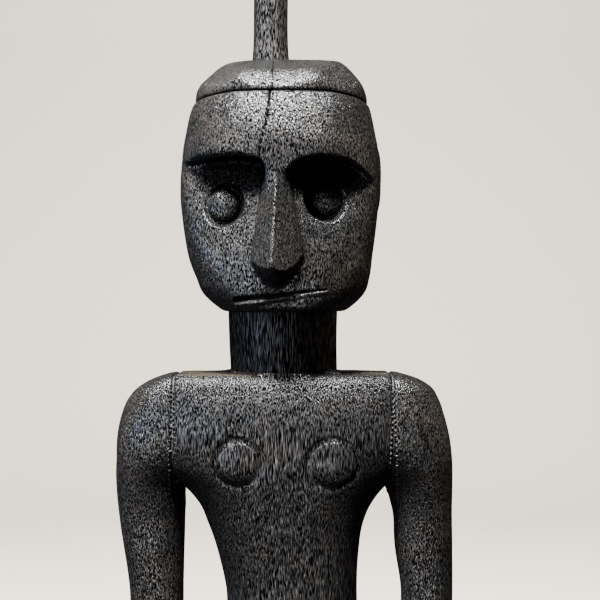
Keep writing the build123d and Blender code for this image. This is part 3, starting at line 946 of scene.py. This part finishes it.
def arm_without_seat(p, side):
    arm = ARMS[side]
    solid = arm["stack"](p)
    lower = p[:, 2] < 244.0
    if lower.any():
        q = p[lower]
        elbow, wrist = arm["elbow"], arm["wrist"]
        start = (side * elbow[0], elbow[1], elbow[2])
        end = (side * wrist[0], wrist[1], wrist[2])
        forearm = capsule(q, start, end, 9.6, 6.3)
        part = smooth_min(solid[lower], forearm, 1.6)
        part = smooth_min(part, hand(q, side, wrist), 2.2)
        solid[lower] = part
    return solid


def arm_field(side):
    seed = ARMS[side]["seed"]

    def field(p):
        solid = arm_without_seat(p, side) + tool_marks(p, seed, 0.8)
        # flat where the arm is let on to the trunk, and free below the armpit
        seat = np.interp(p[:, 2], (254.0, 263.0, 268.0, 269.5), (-60.0, 30.0, 34.6, ARM_SIDE))
        return smooth_max(solid, seat - side * p[:, 0], 0.8)

    return field


# ---------------------------------------------------------------- pitch in the shoulder seams
SEAM_FOOT = 266.5
BEADS_TOP = 305.0
BEAD_SPACING = 1.75
BEAD_RADIUS = 0.54
BEAD_STAGGER = 0.5


def pitch_field(side):
    seed = ARMS[side]["seed"] + 20

    def field(p):
        shoulder = np.minimum(trunk_without_seams(p), arm_without_seat(p, side))
        offset = side * p[:, 0] - (TRUNK_SIDE + ARM_SIDE) / 2
        gap = np.abs(offset)
        sheet = np.maximum(gap - (ARM_SIDE - TRUNK_SIDE) / 2 - 0.05, shoulder + 0.7)
        lumps = rough(p, 1.7, seed) + 0.3 * rough(p, 1.0, seed + 1)
        # beads squeezed out in a row, parting into two rows lower down
        part = np.interp(p[:, 2], (268.0, 284.0, 298.0), (1.6, 1.1, 0.1))
        staggered = p[:, 2] + BEAD_STAGGER * np.sign(offset) + 0.55 * lumps
        nearest = np.mod(staggered, BEAD_SPACING) - BEAD_SPACING / 2
        across = gap - part + 0.4 * lumps
        bead = np.sqrt(across**2 + nearest**2 + (shoulder + 0.26) ** 2) - BEAD_RADIUS - 0.16 * lumps
        smear = np.maximum(bead, p[:, 2] - BEADS_TOP)
        solid = smooth_min(sheet, smear, 0.4)
        return np.maximum(solid, SEAM_FOOT + 1.2 * lumps - p[:, 2])

    return field


# ---------------------------------------------------------------- plinth
FEET_HALF_WIDTH = 30.0
FEET_HALF_DEPTH = 26.0
FEET_Y = -12.0
WORN_CORNER = 4.5


def plinth_field(p):
    """A block with uneven faces and worn corners, flat where it meets the table and the feet."""
    half = (plinth_high - plinth_low) / 2
    centre = (plinth_high + plinth_low) / 2
    block = rounded_box(p, centre, half, 1.4)
    dressed = 0.45 * rough(p, (17.0, 24.0, 20.0), 91) + 0.18 * rough(p, (5.0, 8.0, 5.0), 92)
    on_table = np.clip((p[:, 2] - 1.0) / 3.0, 0.0, 1.0)
    # the top stays level where the feet stand, and is uneven away from them
    beside = np.maximum(np.abs(p[:, 0]) - FEET_HALF_WIDTH, 0.0)
    beyond = np.maximum(np.abs(p[:, 1] - FEET_Y) - FEET_HALF_DEPTH, 0.0)
    under_feet = np.hypot(beside, beyond)
    level = np.where(p[:, 2] > GROUND - 3.0, np.clip(under_feet / 8.0, 0.0, 1.0), 1.0)
    block = block + 0.3 * on_table * level + dressed * on_table * level
    worn = np.abs(p[:, 0] - centre[0]) + np.abs(p[:, 1] - centre[1]) - half[0] - half[1] + WORN_CORNER
    return smooth_max(block, worn * math.sqrt(0.5) + 0.4 * rough(p, 7.0, 93), 1.5)


# ---------------------------------------------------------------- the pieces
# the head's recesses are darkened with painted shade
carve("head_carving", head_field, head_low - (1, 8, 0), head_high + (1, 1, 0), 0.52, "head_block",
      carved_wood, "head", painted_recess_shade)
carve("lid_carving", lid_field, lid_low - 1, lid_high + 1, 0.5, "lid_and_stem",
      carved_wood, "lid")
carve("stem_carving", stem_field, stem_low - 1, stem_high, 0.45, "lid_and_stem",
      stem_wood, "lid_stem")
# the neck carries the darker wood that paints the shadow under the chin
carve("neck_carving", neck_field, neck_low, neck_high, 0.6, "figure",
      neck_wood_painted_shade, "neck_peg")
carve("trunk_carving", trunk_field, trunk_low - 1, trunk_high + (1, 1, 2), 0.8, "figure",
      body_wood, "trunk_and_legs")
for side, arm in ARMS.items():
    arm_low, arm_high = node_box("arm_" + arm["name"])
    carve("arm_carving_" + arm["name"], arm_field(side), arm_low - 2, arm_high + 2, 0.6, "figure",
          carved_wood, "arm_" + arm["name"])
    pitch_low, pitch_high = node_box("shoulder_pitch_" + arm["name"])
    carve("pitch_seam_" + arm["name"], pitch_field(side), pitch_low - (3, 2, 2), pitch_high + (3, 2, 3), 0.36,
          "figure", pitch, "shoulder_pitch_" + arm["name"])
carve("plinth_block", plinth_field, plinth_low, plinth_high, 0.9, "figure",
      plinth_wood, "plinth")

for name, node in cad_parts.items():
    if "peg" in name and name != "neck_peg":
        node.data.materials.clear()
        node.data.materials.append(raw_wood)


# ---------------------------------------------------------------- floor, light and camera
# metres
FLOOR_END = 1.6
SWEEP_RADIUS = 0.9
SWEEP_STEPS = 12
FLOOR_HALF_WIDTH = 4.0


def sweep_profile():
    """The floor, and the curve that lifts it into a wall well behind the figure."""
    line = [(-3.0, 0.0), (FLOOR_END, 0.0)]
    for step in range(1, SWEEP_STEPS + 1):
        angle = math.radians(90.0 * step / SWEEP_STEPS)
        rise = SWEEP_RADIUS - SWEEP_RADIUS * math.cos(angle)
        line.append((FLOOR_END + SWEEP_RADIUS * math.sin(angle), rise))
    line.append((FLOOR_END + SWEEP_RADIUS, 4.0))
    return line


profile = sweep_profile()
corners = [(x, y, z) for y, z in profile for x in (-FLOOR_HALF_WIDTH, FLOOR_HALF_WIDTH)]
strips = [(2 * i, 2 * i + 1, 2 * i + 3, 2 * i + 2) for i in range(len(profile) - 1)]
floor_mesh = bpy.data.meshes.new("floor")
floor_mesh.from_pydata(corners, [], strips)
floor_mesh.shade_smooth()
floor = bpy.data.objects.new("floor", floor_mesh)
bpy.context.scene.collection.objects.link(floor)
floor_material, _, _, floor_surface = shader("floor")
floor_surface.inputs["Base Color"].default_value = (0.80, 0.71, 0.60, 1.0)
floor_surface.inputs["Roughness"].default_value = 0.9
floor_mesh.materials.append(floor_material)
# the figure is lit by the lamps alone, with no light thrown up from the floor
floor.visible_diffuse = False
floor.visible_glossy = False

world = bpy.data.worlds.new("studio")
world.use_nodes = True
world_nodes, world_links = world.node_tree.nodes, world.node_tree.links
backdrop = world_nodes.new("ShaderNodeBackground")
backdrop.inputs["Color"].default_value = (0.72, 0.60, 0.47, 1.0)
backdrop.inputs["Strength"].default_value = 0.8
seen = world_nodes.new("ShaderNodeLightPath")
mixed = world_nodes.new("ShaderNodeMixShader")
ambient = world_nodes["Background"]
ambient.inputs["Color"].default_value = (0.85, 0.86, 0.9, 1.0)
ambient.inputs["Strength"].default_value = 0.08
world_links.new(seen.outputs["Is Camera Ray"], mixed.inputs[0])
world_links.new(ambient.outputs[0], mixed.inputs[1])
world_links.new(backdrop.outputs[0], mixed.inputs[2])
world_links.new(mixed.outputs[0], world_nodes["World Output"].inputs["Surface"])
bpy.context.scene.world = world

# camera: about level with the mouth, straight in front
VIEW_WIDTH = 216.0
CAMERA_DISTANCE = 486.0
CAMERA_X = 5.8
SENSOR = 36.0
eye_level = JAW + 3.4
camera_data = bpy.data.cameras.new("camera")
camera_data.sensor_width = SENSOR
camera_data.lens = SENSOR * CAMERA_DISTANCE / VIEW_WIDTH
camera_data.clip_start = 0.01
camera = bpy.data.objects.new("camera", camera_data)
bpy.context.scene.collection.objects.link(camera)
camera.location = Vector((CAMERA_X, -CAMERA_DISTANCE, eye_level)) * MM
camera.rotation_euler = (math.radians(90.0), 0.0, 0.0)
bpy.context.scene.camera = camera


def soft_light(name, place, aim, size, power, colour):
    """A rectangular lamp aimed at a point. Places and sizes are metres, and power is watts."""
    data = bpy.data.lights.new(name, "AREA")
    data.shape = "RECTANGLE"
    data.size, data.size_y = size
    data.energy = power
    data.color = colour
    light = bpy.data.objects.new(name, data)
    bpy.context.scene.collection.objects.link(light)
    light.location = place
    light.rotation_euler = (Vector(aim) - Vector(place)).to_track_quat("-Z", "Y").to_euler()


soft_light("overhead", (-0.12, -0.62, 1.50), (0.0, 0.0, 0.36), (0.42, 0.20), 158.0, (0.95, 0.98, 1.0))
soft_light("wall_wash", (0.0, 0.9, 2.2), (0.0, 2.4, 0.4), (2.0, 0.5), 38.0, (1.0, 0.95, 0.88))
soft_light("window", (-1.02, -0.64, 0.32), (0.0, 0.0, 0.34), (0.09, 0.30), 9.0, (0.46, 0.64, 1.0))
soft_light("left_fill", (-0.85, -0.85, 0.72), (0.0, 0.0, 0.38), (0.35, 0.6), 8.5, (0.92, 0.96, 1.0))
soft_light("low_fill", (-0.30, -1.10, 0.04), (0.0, 0.0, 0.33), (0.5, 0.3), 8.0, (1.0, 0.96, 0.9))
soft_light("rim", (1.1, 0.6, 0.6), (0.0, 0.0, 0.33), (0.4, 0.8), 1.6, (1.0, 0.85, 0.68))

bpy.context.scene.view_settings.look = "AgX - Medium High Contrast"
